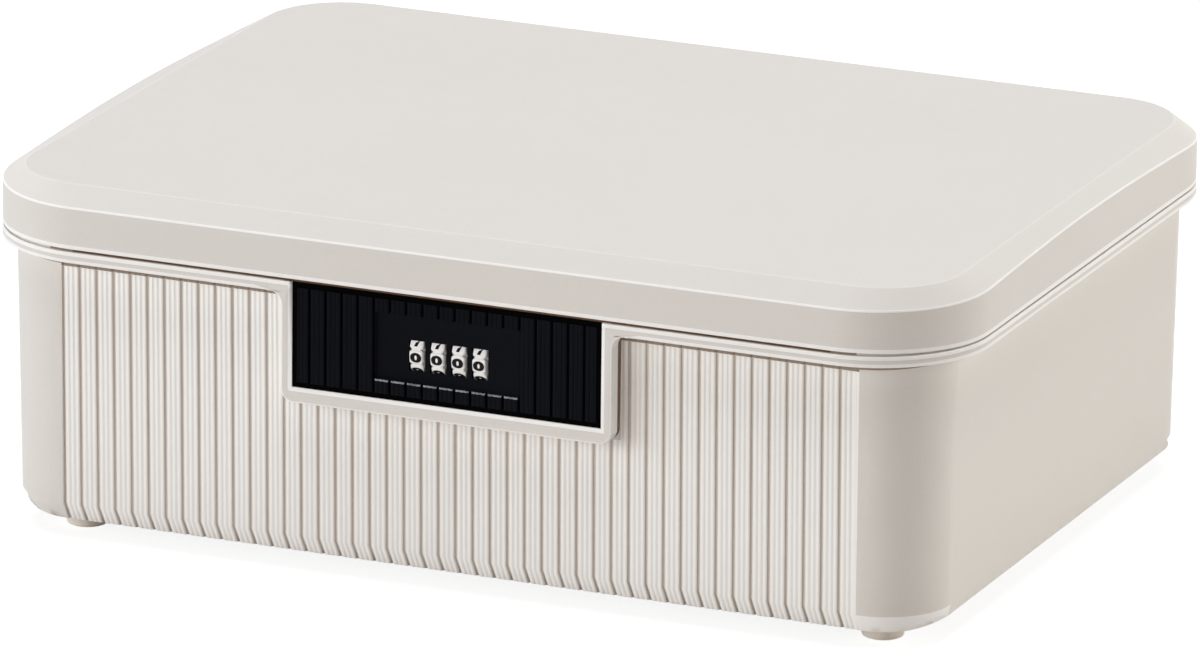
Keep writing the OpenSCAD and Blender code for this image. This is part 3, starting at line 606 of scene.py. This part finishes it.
def paint_shade(work):
    """Paints the brown line under the rim, which grows thinner round the corners."""
    wall = [f for f in work.faces if middle_of(f).y < SHADE_CUT_Y and middle_of(f).z > SHADE_Z - SHADE_REACH
            and all(v.co.z < WALL_TOP_Z + SLACK and v.co.y > WALL_FRONT_Y for v in f.verts)]
    cut(work, wall, (0, 0, SHADE_Z), UP)
    strip = [f for f in work.faces if SHADE_Z < middle_of(f).z < WALL_TOP_Z
             and WALL_FRONT_Y < middle_of(f).y < SHADE_CUT_Y]
    cut(work, strip, (0, 0, SHADE_Z + SHADE_RISE), UP)
    for face in work.faces:
        x, y, z = middle_of(face)
        if not (SHADE_Z < z < WALL_TOP_Z and WALL_FRONT_Y < y < SHADE_END_Y):
            continue
        over_ribs = y < RIB_END_Y and abs(x) < RIB_HALF + SLACK
        past_ribs = abs(x) > RIB_HALF and z > SHADE_Z + SHADE_RISE
        if face.normal.y < -HARDLY and face.material_index != TRAY_EDGE_HIGHLIGHT and (over_ribs or past_ribs):
            face.material_index = TRAY_SHADE
    for vertex in work.verts:
        x, y, z = vertex.co
        if near(z, SHADE_Z + SHADE_RISE) and abs(x) > RIB_HALF + 2 * SLACK and y < CORNER_END_Y:
            vertex.co.z += min(SHADE_TAPER_MAX, (abs(x) - RIB_HALF) * SHADE_TAPER)


def lower_sides(work):
    """Carries the side walls further down, where the bevel is small and the floor rises towards it."""
    for side in (-1, 1):
        under = [f for f in work.faces if f.normal.z < -STRAIGHT and near(middle_of(f).z, FLOOR_Z)]
        reach = max(abs(v.co.x) for f in under for v in f.verts)
        cut(work, under, (side * SIDE_RUN, 0, 0), ACROSS)
    moves = []
    for vertex in work.verts:
        run = abs(vertex.co.x) - SIDE_RUN
        if not near(vertex.co.z, FLOOR_Z) or run <= 0:
            continue
        share = smooth_step(run / BACK_RUN) if vertex.co.y > 0 else (run / (reach - SIDE_RUN)) ** 2
        out = Vector((0, 0))
        for face in vertex.link_faces:
            if abs(face.normal.z) < NEARLY:
                out += face.normal.xy
        if out.length:
            moves.append((vertex, out.normalized() * SIDE_OUT * share, SIDE_UP * share))
    for vertex, out, up in moves:
        vertex.co += Vector((out.x, out.y, up))


def make_tray():
    """The tray, with painted highlights on reeds and on rounded edges of the collar and rim, and painted
    shade in grooves.
    """
    work = copy_of("box_body")
    flatten_ribs(work)
    paint_ribs(work)
    close_notch(work)
    rim_lines(work)
    outline = [e for e in work.edges if on_outline(e) and not in_window(e)
               and all(v.co.z < WALL_TOP_Z - CLOSE for v in e.verts)]
    # The collar's rounded edge gets a painted highlight
    bevel(work, outline, OUTLINE_BEVEL, 3, TRAY_EDGE_HIGHLIGHT)
    window_chamfer(work)
    paint_collar_sides(work)
    paint_shade(work)
    lower_sides(work)
    tray = add_piece("tray", work, TRAY_MATERIALS, "box")
    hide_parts("box_body")


# Lid

# The lid's materials and their places in the list
LID_MATERIALS = [SHELL, EDGE_HIGHLIGHT, SOFT_HIGHLIGHT, GAP_SHADOW, SIDE_GAP_SHADE, SHADE]
LID_SHELL, LID_EDGE_HIGHLIGHT, LID_SOFT_HIGHLIGHT, LID_GAP_SHADOW, LID_SIDE_GAP_SHADE, LID_SHADE = range(6)
# Half the width and depth of the lid, its heights, and the radii of its skirt and its top
LID_HALF_X, LID_HALF_Y = 179.85, 134.85
LAND_Z, LID_Z, SKIRT_Z, TOP_Z = 106, 106.5, 121.7, 127.7
SKIRT_R, TOP_R = 40.85, 28
# Its thickness, how far its land stands in, the width of its bevel, and how much further in the top's ring is
LID_T, LAND_IN, BEVEL_W, TOP_RUN = 2.5, 1.2, 9, 5
# Radii of the rounds at the skirt's lower edge, at its upper edge and round the top
ROUND_LOW, ROUND_SKIRT, ROUND_TOP = 0.4, 0.9, 1.6
# The rise of the skirt's upper edge: its height, half its length, where across the lid it starts, and over
# what width it grows
ARCH_H, ARCH_HALF, ARCH_X, ARCH_RUN = 3.44, 137, 139, 20.5
# The locating lip: half its width and depth, its radius and its thickness, then its lower end, how far it
# reaches into the lid's top, and half of the opening in it behind the lock
LIP_HALF_X, LIP_HALF_Y, LIP_R, LIP_T = 168.95, 123.95, 22.2, 1.6
LIP_LOW_Z, LIP_SUNK, LIP_OPEN = 103, 0.3, 61.8
# Height of the painted highlight line along the skirt's lower edge, and how much wider the gap under the lid
# is in front
SKIRT_LINE, GAP_MORE = 1.5, 0.45
# How far back from the front the gap starts to narrow, and over what length
GAP_START, GAP_RUN = 2.5, 24
# Half the length of the darkest painted shadow in the gap, and the length of the brown painted shade past it
GAP_HALF, GAP_SHADE = 134, 14
# Radius and length of the bosses of the catch's screws, and how far they reach into the lid's top
BOSS_R, BOSS_L, BOSS_SUNK = 3.5, 6.1, 0.5
# Half the gap between two knuckles, how far above the axis a knuckle's block starts, and half a bore's length
KNUCKLE_GAP, BLOCK_LIFT, BORE_HALF = 0.2, 0.3, 23
# Places of the lid's knuckles and of the pockets for the tray's, counted from the left, and a hinge's middle
LID_KNUCKLES, TRAY_KNUCKLES, MIDDLE_PLACE = (1, 3), (0, 2, 4), 2.5
# A hair's breadth
HAIR = 0.01


def arch(x, y, z, inset):
    """How far a point of the lid rises above its plain place."""
    along = max(0.0, 1 - (y / ARCH_HALF) ** 2) ** 2
    side = smooth_step((abs(x) - ARCH_X) / ARCH_RUN)
    height = clamped((z - LID_Z) / (SKIRT_Z - LID_Z))
    return ARCH_H * along * side * height * clamped(1 - inset / BEVEL_W)


def gap_end(y):
    """How far a point lies past the front, where the gap under the lid is widest: 0 on it, 1 on the sides."""
    return clamped((y + LID_HALF_Y - GAP_START) / GAP_RUN)


def lid_ring(work, inset, z):
    """The lid's outline at a height, which is arched at the sides and sinks where the wider gap ends."""
    tighter = (SKIRT_R - BEVEL_W - TOP_R) * clamped((z - SKIRT_Z) / (TOP_Z - SKIRT_Z))
    loop = ring(LID_HALF_X - inset, LID_HALF_Y - inset, SKIRT_R - inset - tighter)
    wider = GAP_MORE if LID_Z < z < LID_Z + GAP_MORE + SKIRT_LINE + HAIR else 0
    return [work.verts.new((p.x, p.y + RIM_MID_Y, z + arch(p.x, p.y, z, inset) - wider * gap_end(p.y)))
            for p in loop]


def lid_plate():
    """The lid's plate and skirt with their thickness, without the lip and the hinges."""
    slope = BEVEL_W / (TOP_Z - SKIRT_Z)
    shift = LID_T * math.hypot(1, slope)
    under = TOP_Z - LID_T
    inside = [(BEVEL_W + TOP_RUN, under, 0), ((under - SKIRT_Z) * slope + shift, under, 0),
              (LID_T, SKIRT_Z + (LID_T - shift) / slope, 0)]
    edge_z = LID_Z + GAP_MORE
    # The land's step gets painted shadow, the skirt's lower line and rounds painted highlights, and the top's
    # round a fainter one
    outside = rounded([
        (LID_T, LAND_Z, 0, LID_SHELL, LID_SHELL),
        (LAND_IN, LAND_Z, 0, LID_SHELL, LID_GAP_SHADOW),
        (LAND_IN, edge_z, 0, LID_SHELL, LID_SHELL),
        (0, edge_z, ROUND_LOW, LID_EDGE_HIGHLIGHT, LID_EDGE_HIGHLIGHT),
        (0, edge_z + SKIRT_LINE, 0, LID_SHELL, LID_SHELL),
        (0, SKIRT_Z, ROUND_SKIRT, LID_EDGE_HIGHLIGHT, LID_SHELL),
        (BEVEL_W, TOP_Z, ROUND_TOP, LID_SOFT_HIGHLIGHT, LID_SHELL),
        (BEVEL_W + TOP_RUN, TOP_Z, 0, LID_SHELL, LID_SHELL),
    ])
    path = inside + outside
    work = bmesh.new()
    skin(work, [lid_ring(work, inset, z) for inset, z, material in path], materials=[p[2] for p in path])
    return work


def lip_wall(work):
    """The lip inside the rim, left out behind the lock."""
    outer = ring(LIP_HALF_X, LIP_HALF_Y, LIP_R)
    inner = ring(LIP_HALF_X - LIP_T, LIP_HALF_Y - LIP_T, LIP_R - LIP_T)
    top = TOP_Z - LID_T + LIP_SUNK
    pairs = list(zip(outer, inner))
    start = next(k for k, (o, i) in enumerate(pairs)
                 if o.y < -LIP_HALF_Y + HAIR and o.x > -LIP_HALF_X + LIP_R + HAIR)
    row = [p for p in pairs[start:] + pairs[:start] if not (abs(p[0].x) < LIP_OPEN and p[0].y < 0)]
    first = min(range(len(row)), key=lambda k: (row[k][0] - Vector((LIP_OPEN, -LIP_HALF_Y))).length)
    row = row[first:] + row[:first]
    right, left = [(Vector((side * LIP_OPEN, -LIP_HALF_Y)), Vector((side * LIP_OPEN, -LIP_HALF_Y + LIP_T)))
                   for side in (1, -1)]
    loops = [[work.verts.new((p.x, p.y + RIM_MID_Y, z)) for p, z in
              ((o, LIP_LOW_Z), (o, top), (i, top), (i, LIP_LOW_Z))] for o, i in [right] + row + [left]]
    skin(work, loops)


def knuckle_places(places):
    """Where knuckles start along X, at some of the five places of each hinge."""
    return [side * HINGE_X + (i - MIDDLE_PLACE) * KNUCKLE_STEP for side in (-1, 1) for i in places]


def lid_extras():
    """The lid's knuckles, the bosses of the catch's screws and the lip."""
    extra = bmesh.new()
    for place in knuckle_places(LID_KNUCKLES):
        x = place + KNUCKLE_GAP
        bar_x(extra, x, x + KNUCKLE_L, HINGE_Y, HINGE_Z, KNUCKLE_R)
        block(extra, (x + HAIR, HINGE_Y - KNUCKLE_R, HINGE_Z + BLOCK_LIFT),
              (x + KNUCKLE_L - HAIR, HINGE_Y, HINGE_Z + KNUCKLE_R))
    low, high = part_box("catch_screws")
    screw_y, reach = (low.y + high.y) / 2 / MM, (high.y - low.y) / 2 / MM
    boss_z = TOP_Z - LID_T + BOSS_SUNK - BOSS_L / 2
    for x in (low.x / MM + reach, high.x / MM - reach):
        bmesh.ops.create_cone(extra, segments=40, radius1=BOSS_R, radius2=BOSS_R, depth=BOSS_L, cap_ends=True,
                              matrix=Matrix.Translation((x, screw_y, boss_z)))
    lip_wall(extra)
    return extra


def make_lid():
    """The lid: a land, a skirt whose upper edge is arched at the sides, a bevel and a flat top."""
    work = lid_plate()
    pockets = bmesh.new()
    for x in knuckle_places(TRAY_KNUCKLES):
        bar_x(pockets, x - KNUCKLE_GAP, x + KNUCKLE_STEP + KNUCKLE_GAP, HINGE_Y, HINGE_Z, POCKET_R)
    work = cut_or_join(work, pockets, "DIFFERENCE", LID_MATERIALS)
    work = cut_or_join(work, lid_extras(), "UNION", LID_MATERIALS)
    bores = bmesh.new()
    for x in (-HINGE_X, HINGE_X):
        bar_x(bores, x - BORE_HALF, x + BORE_HALF, HINGE_Y, HINGE_Z, PIN_BORE)
    work = cut_or_join(work, bores, "DIFFERENCE", LID_MATERIALS)
    # Past the front, the painted shadow in the gap turns to brown painted shade, then to paler painted shade
    for face in work.faces:
        middle = middle_of(face)
        if face.material_index != LID_GAP_SHADOW:
            continue
        if middle.y > 0 or abs(middle.x) > GAP_HALF + GAP_SHADE:
            face.material_index = LID_SIDE_GAP_SHADE
        elif abs(middle.x) > GAP_HALF:
            face.material_index = LID_SHADE
    lid = add_piece("lid_cover", work, LID_MATERIALS, "lid")
    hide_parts("lid_shell")


# Lock

# Materials of the lock's cover, and the places of the last two in the list
COVER_MATERIALS = [BLACK, BLACK_HIGHLIGHT, BLACK_SHADE]
COVER_HIGHLIGHT, COVER_SHADE = 1, 2
# Half the panel's width, the front of the frame round the ribs, and how far back faces are cut for the strip
PANEL_HALF, BORDER_Y, RIB_BACK_Y = 26.7, -136.8, -136
# Height of the strip painted as a highlight, how far back it reaches, and how much of its normal has to look
# forward
LEDGE_H, LEDGE_DEEP, LEDGE_FACING = 0.6, 0.45, 0.7
# Width of its rounded edge, and the least angle of the edges that are rounded
LEDGE_BEVEL, LEDGE_ANGLE = 0.3, 0.5
# From how deep to how deep the grooves between the lock's ribs lie, behind the lock's front
RIB_LOW, RIB_HIGH = 0.5, 1.1
# Radius of the wheels' openings, in the model and here above and below, and how far forward their edges lie
OPENING_R, OPENING_TOP_R, OPENING_LOW_R, OPENING_FRONT = 9.8, 9.2, 9.55, 5


def make_lock_face():
    """The lock's black cover, with a painted highlight where the lower ribs end at the panel, and painted
    shade in its grooves.
    """
    work = copy_of("lock_face")
    # The ledge's rounded edge and a strip below it get a painted highlight
    ledge = [e for e in work.edges if len(e.link_faces) == 2 and e.calc_face_angle(0) > LEDGE_ANGLE
             and all(near(v.co.z, PANEL_LOW_Z) and v.co.y < LOCK_FACE_Y + RIB_LOW for v in e.verts)]
    bevel(work, ledge, LEDGE_BEVEL, 2, COVER_HIGHLIGHT)
    low = [f for f in work.faces if middle_of(f).z < PANEL_LOW_Z and middle_of(f).y < RIB_BACK_Y
           and abs(middle_of(f).x) < PANEL_HALF]
    cut(work, low, (0, 0, PANEL_LOW_Z - LEDGE_H), UP)
    for face in work.faces:
        x, y, z = middle_of(face)
        if (PANEL_LOW_Z - LEDGE_H < z < PANEL_LOW_Z and y < LOCK_FACE_Y + LEDGE_DEEP
                and abs(x) < PANEL_HALF and face.normal.y < -LEDGE_FACING):
            face.material_index = COVER_HIGHLIGHT
        # Painted shade in the grooves between the ribs and on the front of the frame round them
        groove = LOCK_FACE_Y + RIB_LOW < y < LOCK_FACE_Y + RIB_HIGH and face.normal.z < HALF
        if groove or (near(y, BORDER_Y) and face.normal.y < -MOSTLY):
            face.material_index = COVER_SHADE
    for vertex in work.verts:
        forward, up = AXIS_Y - vertex.co.y, vertex.co.z - AXIS_Z
        if near(math.hypot(forward, up), OPENING_R) and forward > OPENING_FRONT:
            closer = OPENING_TOP_R if up > 0 else OPENING_LOW_R
            vertex.co.z = AXIS_Z + math.copysign(math.sqrt(closer ** 2 - forward ** 2), up)
    face = add_piece("lock_cover", work, COVER_MATERIALS, "box")
    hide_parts("lock_face")


# Wheels

# Radius and width of the cells, and how far the digits sit below the middle, in degrees
CELL_R, CELL_W, DIGIT_DROP = 9.0, 4.95, -4
# The waist between two cells: its spread in degrees, its depth from the sides, and the depth of its fine line
WAIST_SPREAD, WAIST_IN, LINE_DEEP = 3.2, 0.8, 0.55
# How deep the wheel's shoulders start and end, and the round of the cells' edges with the depth of its middle
SHOULDER_LOW, SHOULDER_HIGH, CELL_ROUND, CELL_ROUND_MID = 2.2, 1.6, 0.5, 0.16
# Inside a wheel: the seat of its gate disc, and the chamber in which the disc's lug turns free
SEAT_R, SEAT_X, CHAMBER_R, CHAMBER_X = 6, 1.05, 4.9, -1.75
WHEEL_STEPS = 160


def wheel_waist(angle):
    """How close an angle in degrees lies to the line between two digits, from 0 to 1."""
    off = (angle - DIGIT_DROP) % DIGIT_STEP - DIGIT_STEP / 2
    return math.exp(-(off / WAIST_SPREAD) ** 2)


def wheel_section(angle):
    """A wheel's section at an angle in degrees: places across it, and radii."""
    waist = wheel_waist(angle)
    side, half = WHEEL_W / 2, CELL_W / 2 - WAIST_IN * waist
    outer = CELL_R - LINE_DEEP * waist ** 2
    cell = [(half, CELL_R - SHOULDER_HIGH), (half, outer - CELL_ROUND),
            (half - CELL_ROUND_MID, outer - CELL_ROUND_MID), (half - CELL_ROUND, outer)]
    return ([(-side, WHEEL_BORE), (-side, CELL_R - SHOULDER_LOW)] + [(-x, r) for x, r in cell] + cell[::-1]
            + [(side, CELL_R - SHOULDER_LOW), (side, SEAT_R), (SEAT_X, SEAT_R), (SEAT_X, CHAMBER_R),
               (CHAMBER_X, CHAMBER_R), (CHAMBER_X, WHEEL_BORE)])


def round_axis(middle_x, across, radius, turn):
    """A point at a radius from the wheels' axis, turned up from the front by an angle."""
    return Vector((middle_x + across, AXIS_Y - radius * math.cos(turn), AXIS_Z + radius * math.sin(turn)))


def wheel_middle(wheel):
    """The middle of a wheel across the lock."""
    low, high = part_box(wheel)
    return (low.x + high.x) / 2 / MM


def make_wheels():
    """The number wheels: ten cells with rounded sides, a waist and a fine line between each two."""
    for index, wheel in enumerate(WHEELS):
        middle_x = wheel_middle(wheel)
        work = bmesh.new()
        loops = []
        for i in range(WHEEL_STEPS):
            angle = 360 * i / WHEEL_STEPS
            loops.append([work.verts.new(round_axis(middle_x, x, r, math.radians(angle)))
                          for x, r in wheel_section(angle)])
        skin(work, loops, closed=True)
        bmesh.ops.recalc_face_normals(work, faces=work.faces)
        piece = add_piece(f"wheel_ring_{index + 1}", work, [WHITE], f"wheel_{index + 1}", 50)
        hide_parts(wheel)


# Digits

# Height and width of a digit, how much bolder than the plain letters it is, and how far it stands off a cell
DIGIT_H, DIGIT_W, DIGIT_BOLD, INK_T = 3.5, 4.1, 0.06, 0.02
# Corners of the 1: millimetres across, and parts of half its height
ONE_CORNERS = ((-0.9, -1), (0.3, -1), (1.5, 1), (0.3, 1))
# The longest edge of a digit that bends well enough round a cell
LONG_EDGE = 0.5


def digit_mesh(digit):
    """A flat bold digit in the X-Z plane, centred on the origin, in millimetres. The 1 is a slanted bar."""
    if digit == 1:
        mesh = bpy.data.meshes.new("digit")
        mesh.from_pydata([(x, 0, z * DIGIT_H / 2) for x, z in ONE_CORNERS], [], [(0, 1, 2, 3)])
        return mesh
    curve = bpy.data.curves.new("digit", "FONT")
    curve.body = str(digit)
    curve.size = 1.0
    curve.offset = DIGIT_BOLD
    curve.align_x = "CENTER"
    holder = bpy.data.objects.new("digit", curve)
    scene.collection.objects.link(holder)
    mesh = bpy.data.meshes.new_from_object(holder.evaluated_get(bpy.context.evaluated_depsgraph_get()))
    bpy.data.objects.remove(holder)
    xs = [v.co.x for v in mesh.vertices]
    ys = [v.co.y for v in mesh.vertices]
    tall = DIGIT_H / (max(ys) - min(ys))
    wide = DIGIT_W / (max(xs) - min(xs))
    middle_x, middle_y = (max(xs) + min(xs)) / 2, (max(ys) + min(ys)) / 2
    for v in mesh.vertices:
        v.co = Vector(((v.co.x - middle_x) * wide, 0, (v.co.y - middle_y) * tall))
    return mesh


def make_digits():
    """Ten printed digits round each wheel. The next number up stands above the one in the window."""
    radius = CELL_R + INK_T
    for index, wheel in enumerate(WHEELS):
        middle_x = wheel_middle(wheel)
        joined = bmesh.new()
        for digit in range(DIGITS):
            part = bmesh.new()
            part.from_mesh(digit_mesh(digit))
            long_edges = [e for e in part.edges if e.calc_length() > LONG_EDGE]
            bmesh.ops.subdivide_edges(part, edges=long_edges, cuts=2)
            for v in part.verts:
                turn = math.radians(DIGIT_STEP * digit + DIGIT_DROP) + v.co.z / radius
                v.co = round_axis(middle_x, v.co.x, radius, turn)
            moved = bpy.data.meshes.new("digit")
            part.to_mesh(moved)
            part.free()
            joined.from_mesh(moved)
        add_piece(f"digits_{index + 1}", joined, [INK], f"wheel_{index + 1}")


# Studio

# Half the floor's width and the height that the lamps look at, in metres
FLOOR_HALF, LAMP_AIM_Z = 6, 0.06
# The floor's colour as it lights the part, and its colour and glow to the eye
FLOOR_PAINT, FLOOR_SEEN, FLOOR_GLOW = (0.80, 0.77, 0.74), (0.3, 0.3, 0.3), 0.86
# Strength of the background: as it lights the part, and to the eye
WORLD_LIGHT, WORLD_SEEN = 0.0, 1.0
# Name, degrees to the right of the front, degrees up, width and height, metres away, watts, colour
LAMPS = [
    ("lamp_left", -50, 12, 2.6, 1.2, 3.2, 43.0, (0.93, 1, 1.08)),
    ("lamp_front", -15, 20, 2.2, 2.2, 3.2, 18.5, (1.14, 1, 0.86)),
    ("lamp_right", 120, 15, 1.6, 1.6, 3.2, 51.5, (1.02, 1, 0.95)),
    ("lamp_top", 0, 88, 2.4, 2.4, 3.0, 69.5, (1.0, 1, 1.03)),
    ("lamp_back", -150, 40, 1.6, 1.6, 3.2, 5.5, (0.86, 1, 1.14)),
]


def area_light(name, azimuth, elevation, width, height, distance, power, color):
    """A flat lamp that looks at the middle of the part, with no mirror image to whiten the lid's top."""
    turn, rise = math.radians(azimuth), math.radians(elevation)
    away = Vector((math.sin(turn) * math.cos(rise), -math.cos(turn) * math.cos(rise), math.sin(rise)))
    lamp = bpy.data.objects.new(name, bpy.data.lights.new(name, "AREA"))
    lamp.data.shape = "RECTANGLE"
    lamp.data.size, lamp.data.size_y = width, height
    lamp.data.energy = power
    lamp.data.color = color
    lamp.location = Vector((0, 0, LAMP_AIM_Z)) + away * distance
    lamp.visible_glossy = False
    lamp.rotation_euler = away.to_track_quat("Z", "Y").to_euler()
    scene.collection.objects.link(lamp)


def seen(made):
    """1 for what the eye sees directly, mirrored or through something clear, and 0 for light on the part."""
    path = made.add("ShaderNodeLightPath")
    total = path.outputs["Is Camera Ray"]
    for kind in ("Is Glossy Ray", "Is Transmission Ray"):
        both = made.add("ShaderNodeMath", operation="ADD", use_clamp=True)
        made.join(total, both.inputs[0])
        made.join(path.outputs[kind], both.inputs[1])
        total = both.outputs[0]
    return total


def choose(made, hidden, shown):
    """Joins one shader to the output for light on the part, and another for what the eye sees."""
    choice = made.add("ShaderNodeMixShader")
    made.join(seen(made), choice.inputs[0])
    made.join(hidden.outputs[0], choice.inputs[1])
    made.join(shown.outputs[0], choice.inputs[2])
    made.join(choice.outputs[0], made.output.inputs["Surface"])


def make_studio():
    """White floor and background to the eye, and plain soft lamps for the part."""
    material = bpy.data.materials.new("floor_white")
    made = Nodes(material)
    paint = made.add("ShaderNodeBsdfDiffuse", Color=(*FLOOR_PAINT, 1))
    pale = made.add("ShaderNodeBsdfDiffuse", Color=(*FLOOR_SEEN, 1))
    glow = made.add("ShaderNodeEmission", Color=(1, 1, 1, 1), Strength=FLOOR_GLOW)
    both = made.add("ShaderNodeAddShader")
    made.join(pale.outputs[0], both.inputs[0])
    made.join(glow.outputs[0], both.inputs[1])
    choose(made, paint, both)
    mesh = bpy.data.meshes.new("floor")
    corners = [(x * FLOOR_HALF, y * FLOOR_HALF, 0) for x, y in ((-1, -1), (1, -1), (1, 1), (-1, 1))]
    mesh.from_pydata(corners, [], [(0, 1, 2, 3)])
    mesh.materials.append(material)
    floor = bpy.data.objects.new("floor", mesh)
    scene.collection.objects.link(floor)

    scene.world = bpy.data.worlds.new("studio")
    made = Nodes(scene.world, "ShaderNodeOutputWorld")
    soft = made.add("ShaderNodeBackground", Color=(1, 1, 1, 1), Strength=WORLD_LIGHT)
    white = made.add("ShaderNodeBackground", Color=(1, 1, 1, 1), Strength=WORLD_SEEN)
    choose(made, soft, white)

    for lamp in LAMPS:
        area_light(*lamp)
    scene.view_settings.view_transform = "Standard"


make_camera()
dress_nodes()
make_tray()
make_lid()
make_lock_face()
make_wheels()
make_digits()
make_studio()
